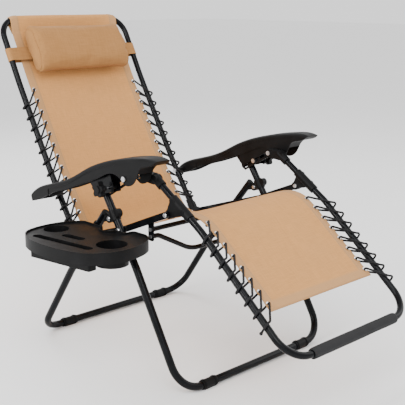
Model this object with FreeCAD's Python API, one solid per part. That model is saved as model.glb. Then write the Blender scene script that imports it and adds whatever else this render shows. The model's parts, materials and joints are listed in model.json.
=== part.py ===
import FreeCAD, Part
import math
import os

# Zero gravity recliner: two folding floor legs carry a pair of seat rails; a back frame and a
# legrest frame are pivoted on the rails and joined above by two armrests.
# Frame: millimetres, +Z up, floor at Z 0, the sitter looks along -Y, +X is the sitter's left.
# The origin is on the floor, midway between the sides, below the pivot of the seat rails.

V = FreeCAD.Vector

# ---- driving dimensions -------------------------------------------------------------------
LEG_R = 11.0            # floor leg tube, radius
FRAME_R = 9.5           # back and legrest tube, radius
CROSS_R = 7.0           # cross tubes under the seat, radius
WALL = 1.4              # wall of every steel tube
LEG_X = 301.0           # centre of the floor leg tubes
BACK_X = 250.0          # centre of the back frame tubes
REST_X = 257.0          # centre of the legrest tubes
RAIL_IN, RAIL_OUT = 270.6, 282.4    # inner and outer face of a seat rail
ARM_IN, ARM_OUT = 278.0, 334.0      # inner and outer face of an armrest
ARM_WALL = 4.0
FIT = 0.06              # radial play of a pin in its hole
GAP = 0.4               # play between faces that slide

# side view points, as (y, z)
SEAT_PIVOT = (0.0, 421.0)
REST_PIVOT = (-162.0, 489.0)
BACK_PIVOT = (280.0, 330.0)
ARM_PIVOT = (366.7, 462.0)
KNUCKLE_PIVOT = (-57.5, 578.0)
LEG_TOP_RIVET = (71.0, 526.5)
CLAMP_AXIS = (34.0, 537.0)

FRONT_FOOT = (-246.0, 13.0)
FRONT_BEND = (-67.0, 320.0)
FRONT_TOP = (74.7, 532.0)
REAR_FOOT = (406.0, 13.0)
REAR_BEND = (240.0, 248.0)
REAR_TOP = (68.0, 457.0)
FRONT_CORNER_R, REAR_CORNER_R = 75.0, 62.0

BACK_BEND_1 = (410.0, 528.0)
BACK_BEND_2 = (560.0, 782.0)
BACK_TOP = (664.0, 978.0)
BACK_CORNER_R = 62.0
BACK_CURVE_R = 900.0

REST_TOP = (-97.0, 577.5)
REST_BEND = (-277.0, 460.0)
REST_FOOT = (-586.0, 197.0)
REST_CORNER_R = 75.0
REST_CURVE_R = 160.0

SLING_HALF = 216.0      # half width of the sling
SLING_T = 2.2
EYELET_X = 206.0
EYELET_R = 6.5
EYELET_HOLE = 3.6
CORD_R = 3.0
CORD_GAP = 2.0          # between the tube and the cord that passes round it
BACK_EYELETS = 12
BACK_EYELET_PITCH = 38.6
BACK_EYELET_FIRST = 82.0    # from the back pivot up the tube
REST_EYELETS = 8
REST_EYELET_PITCH = 39.3
REST_EYELET_LAST = 25.0     # from the front hem up the sling

PILLOW_HALF = 182.0
PILLOW_LONG, PILLOW_DEEP = 166.0, 64.0
PILLOW_SHIFT = -10.0     # the pillow sits a little to the sitter's right on its strap
STRAP_W = 44.0
FOOT_PAD_X = 199.0
TRAY_Z = 418.0          # top of the tray deck


# ---- small geometry helpers ---------------------------------------------------------------
def at(x, point):
    """A side view point placed at x."""
    return V(x, point[0], point[1])


def mirrored(shape):
    return shape.mirror(V(0, 0, 0), V(1, 0, 0))


def both(shape):
    """The shape on +X and its mirror image on -X, as one compound."""
    return Part.Compound([shape, mirrored(shape)])


def rod(x0, x1, point, radius):
    """A round bar along X between x0 and x1, through a side view point."""
    return Part.makeCylinder(radius, x1 - x0, at(x0, point), V(1, 0, 0))


def bar(p, q, radius):
    return Part.makeCylinder(radius, (q - p).Length, p, q - p)


def rivet(x0, x1, point, radius, head, inner=2.5, outer=2.5):
    """A rivet along X with a low round head at each end, of the inner and outer heights."""
    slope = 0.64
    shank = rod(x0, x1, point, radius)
    heads = [Part.makeCone(head, head - slope * outer, outer, at(x1, point), V(1, 0, 0)),
             Part.makeCone(head, head - slope * inner, inner, at(x0, point), V(-1, 0, 0))]
    return shank.fuse(heads).removeSplitter()


def bent_wire(points, radii):
    """Straight runs through the points, joined by tangent arcs of the given radii."""
    edges = []
    start = points[0]
    for corner, radius, after in zip(points[1:-1], radii, points[2:]):
        before = (start - corner).normalize()
        onward = (after - corner).normalize()
        half = before.getAngle(onward) / 2
        reach = radius / math.tan(half)
        a = corner + before * reach
        b = corner + onward * reach
        middle = (before + onward).normalize()
        m = corner + middle * (radius / math.sin(half) - radius)
        edges.append(Part.LineSegment(start, a).toShape())
        edges.append(Part.Arc(a, m, b).toShape())
        start = b
    edges.append(Part.LineSegment(start, points[-1]).toShape())
    return Part.Wire(edges)


def sweep(wire, radius):
    """A round solid along the wire."""
    first = wire.Edges[0]
    direction = first.tangentAt(first.FirstParameter)
    circle = Part.Wire([Part.makeCircle(radius, first.valueAt(first.FirstParameter), direction)])
    return wire.makePipeShell([circle], True, False)


def tube(points, radii, radius, wall=WALL):
    wire = bent_wire(points, radii)
    return sweep(wire, radius).cut(sweep(wire, radius - wall))


def plate(outline, x0, x1):
    """A flat plate across X from a side view outline."""
    corners = [at(x0, p) for p in outline]
    face = Part.Face(Part.makePolygon(corners + corners[:1]))
    return face.extrude(V(x1 - x0, 0, 0))


def bone(p, q, radius, x0, x1):
    """A link plate with round ends between two side view points."""
    dy, dz = q[0] - p[0], q[1] - p[1]
    length = math.hypot(dy, dz)
    ny, nz = -dz / length * radius, dy / length * radius
    outline = [(p[0] + ny, p[1] + nz), (q[0] + ny, q[1] + nz)]
    outline += [(q[0] - ny, q[1] - nz), (p[0] - ny, p[1] - nz)]
    link = plate(outline, x0, x1)
    return link.fuse([rod(x0, x1, p, radius), rod(x0, x1, q, radius)]).removeSplitter()


def toward(p, q, distance):
    """The side view point at a distance from p on the way to q."""
    length = math.hypot(q[0] - p[0], q[1] - p[1])
    return (p[0] + (q[0] - p[0]) / length * distance, p[1] + (q[1] - p[1]) / length * distance)


def unit(p, q):
    length = math.hypot(q[0] - p[0], q[1] - p[1])
    return ((q[0] - p[0]) / length, (q[1] - p[1]) / length)


def across_x(edge):
    """True for an edge that runs along X."""
    return abs(edge.tangentAt(edge.FirstParameter).x) > 0.9


def save(name, shape):
    shape.exportStep("parts/" + name + ".step")


# ---- floor legs ---------------------------------------------------------------------------
LEG_LINE = unit(FRONT_BEND, FRONT_TOP)
BRACKET_MIDDLE = toward(FRONT_BEND, FRONT_TOP, 166.5)
PIVOT_OFFSET = 22.0     # leg pivot, behind the middle of the front leg tube
LEG_PIVOT = (BRACKET_MIDDLE[0] + LEG_LINE[1] * PIVOT_OFFSET, BRACKET_MIDDLE[1] - LEG_LINE[0] * PIVOT_OFFSET)
LEG_BEND_R = 260.0
LUG_T = 6.0             # thickness of the flat end of the rear leg
LUG_EYE_R = 10.0


def leg_loop(top, bend, foot, corner_radius):
    """A floor leg: up one side, along the floor and down the other, as one bent tube."""
    side = [at(LEG_X, p) for p in (top, bend, foot)]
    other = [V(-p.x, p.y, p.z) for p in reversed(side)]
    return tube(side + other, [LEG_BEND_R, corner_radius, corner_radius, LEG_BEND_R], LEG_R)


def front_leg():
    shape = leg_loop(FRONT_TOP, FRONT_BEND, FRONT_FOOT, FRONT_CORNER_R)
    for point, radius in ((SEAT_PIVOT, 4.0), (LEG_TOP_RIVET, 3.5)):
        hole = rod(LEG_X - 30, LEG_X + 30, point, radius + FIT)
        shape = shape.cut(hole).cut(mirrored(hole))
    return shape


def rear_leg():
    return leg_loop(REAR_TOP, REAR_BEND, REAR_FOOT, REAR_CORNER_R)


def rear_leg_lug():
    """The flat end that hangs below the capped top of the rear leg and takes the pivot rivet."""
    x0, x1 = LEG_X - LUG_T / 2, LEG_X + LUG_T / 2
    root = toward(REAR_TOP, REAR_BEND, 26)
    cap = bar(at(LEG_X, REAR_TOP), at(LEG_X, toward(REAR_TOP, REAR_BEND, -4)), LEG_R)
    stub = bar(at(LEG_X, REAR_TOP), at(LEG_X, root), LEG_R - WALL - 0.1)
    web = plate([REAR_TOP, root, LEG_PIVOT], x0, x1)
    eye = rod(x0, x1, LEG_PIVOT, LUG_EYE_R)
    necks = [bone(toward(REAR_TOP, root, 4), LEG_PIVOT, 8.0, x0, x1), bone(root, LEG_PIVOT, 8.0, x0, x1)]
    tube_room = bar(at(LEG_X, REAR_TOP), at(LEG_X, toward(REAR_TOP, REAR_BEND, 60)), LEG_R + 0.05)
    flat = web.fuse([eye] + necks).cut(tube_room)
    lug = cap.fuse([stub, flat]).removeSplitter()
    return lug.cut(rod(LEG_X - 9, LEG_X + 9, LEG_PIVOT, 4.0 + FIT))


def leg_bracket():
    """Saddle round the front leg: two ears at the back take the rear leg, a round lobe is in front."""
    y, z = BRACKET_MIDDLE
    reach = 15.0
    half = 8.5
    lobe = (y - LEG_LINE[1] * reach, z + LEG_LINE[0] * reach)
    low = toward(BRACKET_MIDDLE, FRONT_BEND, reach)
    high = toward(BRACKET_MIDDLE, FRONT_BEND, -reach)
    sleeve = bar(at(LEG_X, low), at(LEG_X, high), LEG_R + 3.2)
    front = bone(BRACKET_MIDDLE, lobe, 12.5, LEG_X - half, LEG_X + half)
    ears = bone(BRACKET_MIDDLE, LEG_PIVOT, 12.0, LEG_X - half, LEG_X + half)
    x0, x1 = LEG_X - LUG_T / 2 - GAP, LEG_X + LUG_T / 2 + GAP
    slot = plate([(y + 60, z - 60), (y + 60, z + 60), (y + 17, z + 60), (y + 17, z - 60)], x0, x1)
    body = sleeve.fuse([front, ears]).cut([slot, rod(x0, x1, LEG_PIVOT, 13.0)])
    leg_room = bar(at(LEG_X, toward(BRACKET_MIDDLE, FRONT_BEND, 60)),
                   at(LEG_X, toward(BRACKET_MIDDLE, FRONT_BEND, -60)), LEG_R + 0.05)
    return body.cut([leg_room, rod(LEG_X - 12, LEG_X + 12, LEG_PIVOT, 4.0 + FIT)])


def foot_pad(foot, x):
    """A clip-on pad round the floor bar, with a lug that stands on the floor."""
    sleeve = rod(x - 27, x + 27, foot, LEG_R + 2.4)
    lug = Part.makeBox(40, 17, foot[1], V(x - 20, foot[0] - 8.5, 0))
    rib = rod(x - 21, x - 17, foot, LEG_R + 4.2).fuse(rod(x + 17, x + 21, foot, LEG_R + 4.2))
    pad = sleeve.fuse([lug, rib])
    pad = pad.cut(rod(x - 40, x + 40, foot, LEG_R + 0.05))
    below = Part.makeBox(200, 80, 20, V(x - 100, foot[0] - 40, -20))
    return pad.cut(below).removeSplitter()


def floor_legs():
    save("front_base_frame", front_leg())
    save("rear_base_frame", rear_leg())
    save("rear_leg_end_lugs", both(rear_leg_lug()))
    save("rear_leg_brackets", both(leg_bracket()))
    save("rear_leg_rivets", both(rivet(LEG_X - 8.6, LEG_X + 8.6, LEG_PIVOT, 4.0, 6.5)))
    save("front_foot_pads", both(foot_pad(FRONT_FOOT, FOOT_PAD_X)))
    save("rear_foot_pads", both(foot_pad(REAR_FOOT, FOOT_PAD_X)))


# ---- lock at the top of each front leg ----------------------------------------------------
LOCK_OUTLINE = [(118.0, 541.0), (84.0, 508.0), (50.0, 519.0), (13.0, 528.0), (17.0, 556.0), (26.0, 579.0),
                (46.0, 579.0), (66.0, 567.0), (94.0, 551.0)]


def lock_plate(x0, x1):
    shape = plate(LOCK_OUTLINE, x0, x1)
    shape = shape.makeFillet(5.0, [edge for edge in shape.Edges if across_x(edge)])
    shape = shape.cut(rod(x0 - 5, x1 + 5, LEG_TOP_RIVET, 3.5 + FIT))
    return shape.cut(rod(x0 - 5, x1 + 5, CLAMP_AXIS, 4.0 + FIT))


def lock_knob():
    """Five lobed knob on the outer end of the clamp bolt."""
    x0, x1 = ARM_OUT + 4.0, ARM_OUT + 20.0
    hub = rod(x0, x1, CLAMP_AXIS, 16.0)
    lobes = []
    for k in range(5):
        angle = math.radians(90 + 72 * k)
        centre = (CLAMP_AXIS[0] + 15.5 * math.cos(angle), CLAMP_AXIS[1] + 15.5 * math.sin(angle))
        lobes.append(rod(x0, x1, centre, 7.5))
    star = hub.fuse(lobes).removeSplitter()
    collar = rod(x0 - 2.5, x0, CLAMP_AXIS, 9.0)
    cap = rod(x1, x1 + 2.5, CLAMP_AXIS, 11.0)
    knob = star.fuse([collar, cap])
    return knob.cut(rod(x0 - 5, x0 + 12, CLAMP_AXIS, 4.0 + FIT))


def locks():
    inner = (LEG_X - LEG_R - 3.4, LEG_X - LEG_R - 0.4)
    outer = (LEG_X + LEG_R + 0.4, LEG_X + LEG_R + 3.4)
    plates = Part.Compound([lock_plate(*inner), lock_plate(*outer)])
    save("lock_plates_left", plates)
    save("lock_plates_right", mirrored(plates))
    save("leg_top_rivets", both(rivet(inner[0], outer[1], LEG_TOP_RIVET, 3.5, 6.0, 0.7, 2.5)))
    bolt = rod(inner[0] - 6.5, ARM_OUT + 15.5, CLAMP_AXIS, 4.0)
    head = rod(inner[0] - 10.5, inner[0] - 6.5, CLAMP_AXIS, 7.0)
    save("clamp_bolts", both(bolt.fuse(head).removeSplitter()))
    save("clamp_spacers", both(rod(inner[1], outer[0], CLAMP_AXIS, 7.0).cut(
        rod(inner[1] - 1, outer[0] + 1, CLAMP_AXIS, 4.0 + FIT))))
    knob = lock_knob()
    save("lock_knob_left", knob)
    save("lock_knob_right", mirrored(knob))


# ---- seat rails and the cross tubes under the seat ----------------------------------------
RAIL_R = 9.0            # half depth of the rail
CROSS_Y = -92.0


def seat_rail():
    outer = bone(REST_PIVOT, SEAT_PIVOT, RAIL_R, RAIL_IN, RAIL_OUT)
    outer = outer.fuse(bone(SEAT_PIVOT, BACK_PIVOT, RAIL_R, RAIL_IN, RAIL_OUT)).removeSplitter()
    hollow = bone(toward(REST_PIVOT, SEAT_PIVOT, 22), toward(SEAT_PIVOT, REST_PIVOT, 16),
                  RAIL_R - 1.6, RAIL_IN + 1.6, RAIL_OUT - 1.6)
    rear = bone(toward(SEAT_PIVOT, BACK_PIVOT, 16), toward(BACK_PIVOT, SEAT_PIVOT, 22),
                RAIL_R - 1.6, RAIL_IN + 1.6, RAIL_OUT - 1.6)
    shape = outer.cut(hollow).cut(rear)
    for point in (REST_PIVOT, SEAT_PIVOT, BACK_PIVOT):
        shape = shape.cut(rod(RAIL_IN - 2, RAIL_OUT + 2, point, 4.0 + FIT))
    return shape


def rail_z(y):
    """Height of the middle of the front part of the seat rail."""
    slope = (SEAT_PIVOT[1] - REST_PIVOT[1]) / (SEAT_PIVOT[0] - REST_PIVOT[0])
    return SEAT_PIVOT[1] + (y - SEAT_PIVOT[0]) * slope


STRAIGHT_Z = 434.0
BOW_END_Z = 414.0
BOW_LOW_Z = 350.0
BRACKET_T = 2.4
CROSS_END = RAIL_IN - BRACKET_T - 0.3   # half length of a cross tube


def cross_tube():
    return tube([V(-CROSS_END, CROSS_Y, STRAIGHT_Z), V(CROSS_END, CROSS_Y, STRAIGHT_Z)], [], CROSS_R)


def bowed_tube():
    x = CROSS_END
    points = [V(x, CROSS_Y, BOW_END_Z), V(x - 24, CROSS_Y, BOW_END_Z), V(120, CROSS_Y, BOW_LOW_Z)]
    points += [V(-p.x, p.y, p.z) for p in reversed(points)]
    return tube(points, [40.0, 120.0, 120.0, 40.0], CROSS_R)


def cross_bracket():
    """Hanger plate inside the rail, with a plug for the end of each cross tube."""
    z_top = rail_z(CROSS_Y) + 6
    x = RAIL_IN - BRACKET_T - 0.1
    shape = Part.makeBox(BRACKET_T, 22, z_top - BOW_END_Z + 12, V(x, CROSS_Y - 11, BOW_END_Z - 12))
    shape = shape.makeFillet(6.0, [edge for edge in shape.Edges if across_x(edge)])
    for z in (STRAIGHT_Z, BOW_END_Z):
        shape = shape.fuse(rod(x - 12, x, (CROSS_Y, z), CROSS_R - WALL - 0.1))
        shape = shape.cut(rod(x - 14, RAIL_IN + 2, (CROSS_Y, z), 3.0 + FIT))
    return shape


def seat_frame():
    rail = seat_rail()
    save("seat_rail_left", rail)
    save("seat_rail_right", mirrored(rail))
    save("seat_cross_tube", cross_tube())
    save("seat_bowed_tube", bowed_tube())
    save("cross_tube_brackets", both(cross_bracket()))
    bolts = []
    for z in (STRAIGHT_Z, BOW_END_Z):
        shank = rod(RAIL_IN - 14, RAIL_IN - 0.1, (CROSS_Y, z), 3.0)
        bolts.append(shank.fuse(rod(RAIL_IN - 0.1, RAIL_IN + 4, (CROSS_Y, z), 5.0)).removeSplitter())
    save("cross_tube_bolts", both(Part.Compound(bolts)))
    spacer = rod(RAIL_OUT + 0.2, LEG_X - LEG_R + 1.0, SEAT_PIVOT, 9.0)
    spacer = spacer.cut(rod(RAIL_OUT - 1, LEG_X, SEAT_PIVOT, 4.0 + FIT))
    spacer = spacer.cut(bar(at(LEG_X, FRONT_BEND), at(LEG_X, FRONT_TOP), LEG_R + 0.05))
    save("seat_pivot_spacers", both(spacer))
    save("seat_pivot_rivets", both(rivet(RAIL_IN - 0.3, LEG_X + LEG_R + 0.1, SEAT_PIVOT, 4.0, 7.0)))


# ---- back frame ---------------------------------------------------------------------------
def back_frame():
    points = (toward(BACK_PIVOT, BACK_BEND_1, 16), BACK_BEND_1, BACK_BEND_2, BACK_TOP)
    side = [at(BACK_X, p) for p in points]
    other = [V(-p.x, p.y, p.z) for p in reversed(side)]
    bends = [BACK_CURVE_R, BACK_CURVE_R, BACK_CORNER_R]
    shape = tube(side + other, bends + bends[::-1], FRAME_R)
    hole = rod(BACK_X - 20, BACK_X + 20, ARM_PIVOT, 4.0 + FIT)
    return shape.cut(hole).cut(mirrored(hole))


def back_hinge():
    """Moulded end of the back tube: a sleeve with a round eye beside the seat rail."""
    low = toward(BACK_PIVOT, BACK_BEND_1, 12)
    sleeve = bar(at(BACK_X, low), at(BACK_X, toward(BACK_PIVOT, BACK_BEND_1, 46)), FRAME_R + 3.0)
    eye = rod(BACK_X - 11, RAIL_IN - GAP, BACK_PIVOT, 13.0)
    neck = bone(BACK_PIVOT, toward(BACK_PIVOT, BACK_BEND_1, 26), 11.0, BACK_X - 9, BACK_X + 12)
    room = bar(at(BACK_X, toward(BACK_PIVOT, BACK_BEND_1, 15.9)),
               at(BACK_X, toward(BACK_PIVOT, BACK_BEND_1, 90)), FRAME_R + 0.05)
    shape = sleeve.fuse([eye, neck]).removeSplitter().cut(room)
    return shape.cut(rod(BACK_X - 20, RAIL_OUT, BACK_PIVOT, 4.0 + FIT))


def arm_pivot_bolt():
    """Bolt through the back tube that carries the rear of the armrest."""
    shank = rod(BACK_X - FRAME_R - 0.2, ARM_IN + ARM_WALL + 1.2, ARM_PIVOT, 4.0)
    head = rod(BACK_X - FRAME_R - 4.2, BACK_X - FRAME_R - 0.2, ARM_PIVOT, 7.0)
    nut = rod(ARM_IN + ARM_WALL + 1.2, ARM_IN + ARM_WALL + 4.2, ARM_PIVOT, 6.5)
    return shank.fuse([head, nut]).removeSplitter()


def arm_spacer():
    """Bush between the back tube and the armrest, saddled onto the tube."""
    bush = rod(BACK_X + 5.0, ARM_IN - GAP, ARM_PIVOT, 7.5)
    bush = bush.cut(rod(BACK_X, ARM_IN, ARM_PIVOT, 4.0 + FIT))
    return bush.cut(bar(at(BACK_X, BACK_PIVOT), at(BACK_X, BACK_BEND_1), FRAME_R + 0.05))


def back_assembly():
    save("back_frame", back_frame())
    save("back_hinge_sleeves", both(back_hinge()))
    save("back_pivot_rivets", both(rivet(BACK_X - 11.3, RAIL_OUT + 0.3, BACK_PIVOT, 4.0, 7.0)))
    save("armrest_pivot_bolts", both(arm_pivot_bolt()))
    save("armrest_bushes", both(arm_spacer()))


# ---- legrest frame ------------------------------------------------------------------------
def rest_frame():
    side = [at(REST_X, p) for p in (REST_TOP, REST_BEND, REST_FOOT)]
    other = [V(-p.x, p.y, p.z) for p in reversed(side)]
    return tube(side + other, [REST_CURVE_R, REST_CORNER_R, REST_CORNER_R, REST_CURVE_R], FRAME_R)


def rest_sleeve():
    """Moulded sleeve on the legrest tube, with the ear that pivots on the seat rail."""
    a = toward(REST_TOP, REST_BEND, 84)
    b = toward(REST_TOP, REST_BEND, 164)
    sleeve = bar(at(REST_X, a), at(REST_X, b), FRAME_R + 3.6)
    root_1 = toward(REST_TOP, REST_BEND, 96)
    root_2 = toward(REST_TOP, REST_BEND, 138)
    x0, x1 = REST_X - 4, RAIL_IN - GAP
    ear = plate([root_1, root_2, toward(REST_PIVOT, root_2, 10), REST_PIVOT], x0, x1)
    ear = ear.fuse([bone(root_1, REST_PIVOT, 9.0, x0, x1), bone(root_2, REST_PIVOT, 9.0, x0, x1),
                    rod(x0, x1, REST_PIVOT, 12.5)])
    room = bar(at(REST_X, toward(REST_TOP, REST_BEND, 40)), at(REST_X, toward(REST_TOP, REST_BEND, 190)),
               FRAME_R + 0.05)
    shape = sleeve.fuse(ear).removeSplitter().cut(room)
    return shape.cut(rod(x0 - 2, x1 + 2, REST_PIVOT, 4.0 + FIT))


def rest_knuckle():
    """Moulded elbow on the upper end of the legrest tube, with the eye of the armrest pivot."""
    a = toward(REST_TOP, REST_BEND, -6)
    b = toward(REST_TOP, REST_BEND, 34)
    sleeve = bar(at(REST_X, a), at(REST_X, b), FRAME_R + 3.6)
    x0, x1 = REST_X - 11, REST_X + 12
    elbow = bone(toward(REST_TOP, REST_BEND, 6), KNUCKLE_PIVOT, 13.0, x0, x1)
    room = bar(at(REST_X, REST_TOP), at(REST_X, toward(REST_TOP, REST_BEND, 80)), FRAME_R + 0.05)
    shape = sleeve.fuse(elbow).removeSplitter().cut(room)
    return shape.cut(rod(x0 - 2, x1 + 2, KNUCKLE_PIVOT, 4.0 + FIT))


def foot_sleeve():
    """Foam sleeve on the bar in front of the feet."""
    half = REST_X - REST_CORNER_R - 4
    shape = rod(-half, half, REST_FOOT, FRAME_R + 5.5)
    return shape.cut(rod(-half - 1, half + 1, REST_FOOT, FRAME_R + 0.05))


def rest_assembly():
    save("legrest_frame", rest_frame())
    save("legrest_hinge_sleeves", both(rest_sleeve()))
    save("legrest_knuckles", both(rest_knuckle()))
    save("legrest_pivot_rivets", both(rivet(REST_X - 4.3, RAIL_OUT + 0.3, REST_PIVOT, 4.0, 6.5)))
    pin = rod(REST_X - 11.3, ARM_OUT + 0.9, KNUCKLE_PIVOT, 4.0)
    heads = [rod(REST_X - 14, REST_X - 11.3, KNUCKLE_PIVOT, 7.0),
             rod(ARM_OUT + 0.9, ARM_OUT + 3.4, KNUCKLE_PIVOT, 7.5)]
    save("knuckle_pins", both(pin.fuse(heads).removeSplitter()))
    save("foot_bar_sleeve", foot_sleeve())


# ---- armrests -----------------------------------------------------------------------------
ARM_TOP = [(393.0, 466.0), (356.0, 490.0), (300.0, 509.0), (225.0, 531.0), (176.0, 551.0), (110.0, 584.0),
           (35.0, 612.0), (-50.0, 633.0), (-118.0, 644.0), (-160.0, 646.0), (-184.0, 641.5)]
ARM_BOTTOM = [(-182.0, 638.5), (-160.0, 626.0), (-125.0, 616.0), (-98.0, 574.0), (-64.0, 561.0),
              (-40.0, 575.0), (-10.0, 585.0), (60.0, 562.0), (138.0, 534.0), (227.0, 502.0),
              (278.0, 486.0), (330.0, 462.0), (386.0, 444.0)]
ARM_TOP_DEPTH = 14.0    # depth of the proud band along the top of an armrest
ARM_STEP = 1.6
ARM_CEILING = 5.5       # thickness of the armrest top above its hollow
ARM_HOLLOW = (-112.0, 378.0)
KNUCKLE_PLAY = 1.7      # room round the pin at the front of the armrest


def curve_at(x, points):
    spline = Part.BSplineCurve()
    spline.interpolate([at(x, p) for p in points])
    return spline.toShape()


def arm_outline(x, top, bottom):
    edges = [curve_at(x, top), curve_at(x, bottom)]
    edges.append(Part.LineSegment(at(x, top[-1]), at(x, bottom[0])).toShape())
    edges.append(Part.LineSegment(at(x, bottom[-1]), at(x, top[0])).toShape())
    return Part.Face(Part.Wire(Part.__sortEdges__(edges)))


def arm_steps():
    """Shallow cuts that leave the top of the armrest standing proud of its two sides."""
    line = [(y, z - ARM_TOP_DEPTH) for y, z in ARM_TOP if -150.0 < y < 320.0]
    steps = []
    for x0 in (ARM_IN - 1.0, ARM_OUT - ARM_STEP):
        loop = [at(x0, line[-1]), at(x0, (line[-1][0], 420.0)), at(x0, (line[0][0], 420.0)), at(x0, line[0])]
        edges = [curve_at(x0, line)]
        edges += [Part.LineSegment(p, q).toShape() for p, q in zip(loop[:-1], loop[1:])]
        face = Part.Face(Part.Wire(Part.__sortEdges__(edges)))
        steps.append(face.extrude(V(ARM_STEP + 1.0, 0, 0)))
    return steps


def armrest():
    body = arm_outline(ARM_IN, ARM_TOP, ARM_BOTTOM).extrude(V(ARM_OUT - ARM_IN, 0, 0))
    long_edges = []
    for edge in body.Edges:
        middle = edge.valueAt((edge.FirstParameter + edge.LastParameter) / 2)
        if edge.Length > 300 and middle.z > 560:
            long_edges.append(edge)
    body = body.makeFillet(9.0, long_edges)
    inside = [(y, z - ARM_CEILING) for y, z in ARM_TOP if ARM_HOLLOW[0] < y < 320.0]
    inside = [(ARM_HOLLOW[1], 472.0)] + inside + [(ARM_HOLLOW[0], 635.5)]
    floor = [(ARM_HOLLOW[0], 500.0), (ARM_HOLLOW[1], 380.0)]
    x0, x1 = ARM_IN + ARM_WALL, ARM_OUT - ARM_WALL
    edges = [curve_at(x0, inside)]
    loop = [at(x0, inside[-1]), at(x0, floor[0]), at(x0, floor[1]), at(x0, inside[0])]
    edges += [Part.LineSegment(p, q).toShape() for p, q in zip(loop[:-1], loop[1:])]
    hollow = Part.Face(Part.Wire(Part.__sortEdges__(edges))).extrude(V(x1 - x0, 0, 0))
    body = body.cut([hollow] + arm_steps())
    body = body.cut(rod(ARM_IN - 2, ARM_IN + ARM_WALL + 2, ARM_PIVOT, 4.0 + FIT))
    return body.cut(rod(ARM_IN - 2, ARM_OUT + 2, KNUCKLE_PIVOT, 4.0 + KNUCKLE_PLAY))


# path of the clamp bolt in the armrest, from reclined to upright
TRACK = [(-25.0, 569.2), (0.0, 556.3), (34.0, 537.0), (71.5, 514.0)]
TRACK_X = (ARM_IN + ARM_WALL, ARM_IN + ARM_WALL + 3.4)


def arm_track():
    """Slotted plate under the armrest that the clamp bolt slides in."""
    outline = [(-40.0, 596.0), (-40.0, 570.0), (-24.0, 556.0), (34.0, 523.5), (72.0, 501.0), (86.0, 509.0),
               (104.0, 560.0), (40.0, 590.0)]
    shape = plate(outline, *TRACK_X)
    for p, q in zip(TRACK[:-1], TRACK[1:]):
        shape = shape.cut(bone(p, q, 4.9, TRACK_X[0] - 1, TRACK_X[1] + 1))
    return shape


def armrests():
    arm = armrest()
    save("armrest_left", arm)
    save("armrest_right", mirrored(arm))
    track = arm_track()
    save("armrest_track_left", track)
    save("armrest_track_right", mirrored(track))


# ---- sling, eyelets and lacing ------------------------------------------------------------
SEAT_CORNER = (277.0, 325.0)
SEAT_CORNER_R = 75.0
CREST_CORNER = (-213.0, 501.0)
CREST_R = 130.0
SLING_SPLIT_BACK = 70.0     # from the back pivot up the tube
SLING_SPLIT_REST = 312.0    # from the front hem up the sling
SPLIT_GAP = 2.0
SLING_END = 270.0           # from the legrest bend down the tube
SLEEVE_PLAY = 0.4           # between the top bar and the cloth sleeve round it
FLANGE_GAP = 0.2
SHOULDER_R = BACK_CORNER_R - FRAME_R - 3.5
CORD_DROP = (50.0, 55.0, 60.0)     # from an eyelet's level down the tube, in front of it, outside and behind
CORD_LOW = 52.0             # lowest wrap on the back tube, from the back pivot


def back_curve():
    """Middle of the back tube in the side view, from the pivot up to the top bar."""
    points = [at(0, p) for p in (BACK_PIVOT, BACK_BEND_1, BACK_BEND_2, BACK_TOP)]
    return bent_wire(points, [BACK_CURVE_R, BACK_CURVE_R])


def rest_curve():
    """Middle of the legrest tube in the side view, from the knuckle down to the foot bar."""
    return bent_wire([at(0, REST_TOP), at(0, REST_BEND), at(0, REST_FOOT)], [REST_CURVE_R])


def front_curve():
    """Side view of the cloth from the lower end of the back down to the front hem."""
    start = toward(BACK_PIVOT, BACK_BEND_1, SLING_SPLIT_BACK - SPLIT_GAP)
    hem = toward(REST_BEND, REST_FOOT, SLING_END)
    return bent_wire([at(0, p) for p in (start, SEAT_CORNER, CREST_CORNER, hem)], [SEAT_CORNER_R, CREST_R])


def wire_frame(wire, distance, sense=1):
    """Point, direction towards the head and sitter side normal at a distance along a wire."""
    for edge in wire.Edges:
        if distance <= edge.Length:
            break
        distance -= edge.Length
    u = edge.getParameterByLength(min(distance, edge.Length))
    direction = edge.tangentAt(u) * sense
    return edge.valueAt(u), direction, V(0, -direction.z, direction.y)


def stretch(wire, start, end):
    """The part of a wire between two distances along it."""
    edges = []
    for edge in wire.Edges:
        first, last = max(start, 0.0), min(end, edge.Length)
        if last > first:
            u0, u1 = edge.getParameterByLength(first), edge.getParameterByLength(last)
            edges.append(edge.Curve.toShape(u0, u1))
        start -= edge.Length
        end -= edge.Length
    return Part.Wire(edges)


def ribbon(wire, half, thickness):
    """A sheet of even thickness, symmetrical about X 0, along a side view wire at X 0."""
    start, _, normal = wire_frame(wire, 0.0)
    lift = normal * (thickness / 2)
    side = V(half, 0, 0)
    corners = [start + lift + side, start - lift + side, start - lift - side, start + lift - side]
    profile = Part.makePolygon(corners + corners[:1])
    return wire.makePipeShell([profile], True, False)


def through(place, x, radius):
    """A pin through the cloth at an eyelet."""
    point, _, normal = place
    return Part.makeCylinder(radius, 20, point + V(x, 0, 0) - normal * 10, normal)


def eyelet(place, x):
    """Pressed ring: a barrel through the cloth with a flange on each face."""
    point, _, normal = place
    centre = point + V(x, 0, 0)
    face = SLING_T / 2 + FLANGE_GAP
    barrel = Part.makeCylinder(4.2, 2 * face, centre - normal * face, normal)
    flanges = [Part.makeCylinder(EYELET_R, 0.8, centre + normal * face, normal),
               Part.makeCylinder(EYELET_R, 0.8, centre - normal * (face + 0.8), normal)]
    return barrel.fuse(flanges).cut(through(place, x, EYELET_HOLE)).removeSplitter()


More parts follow.
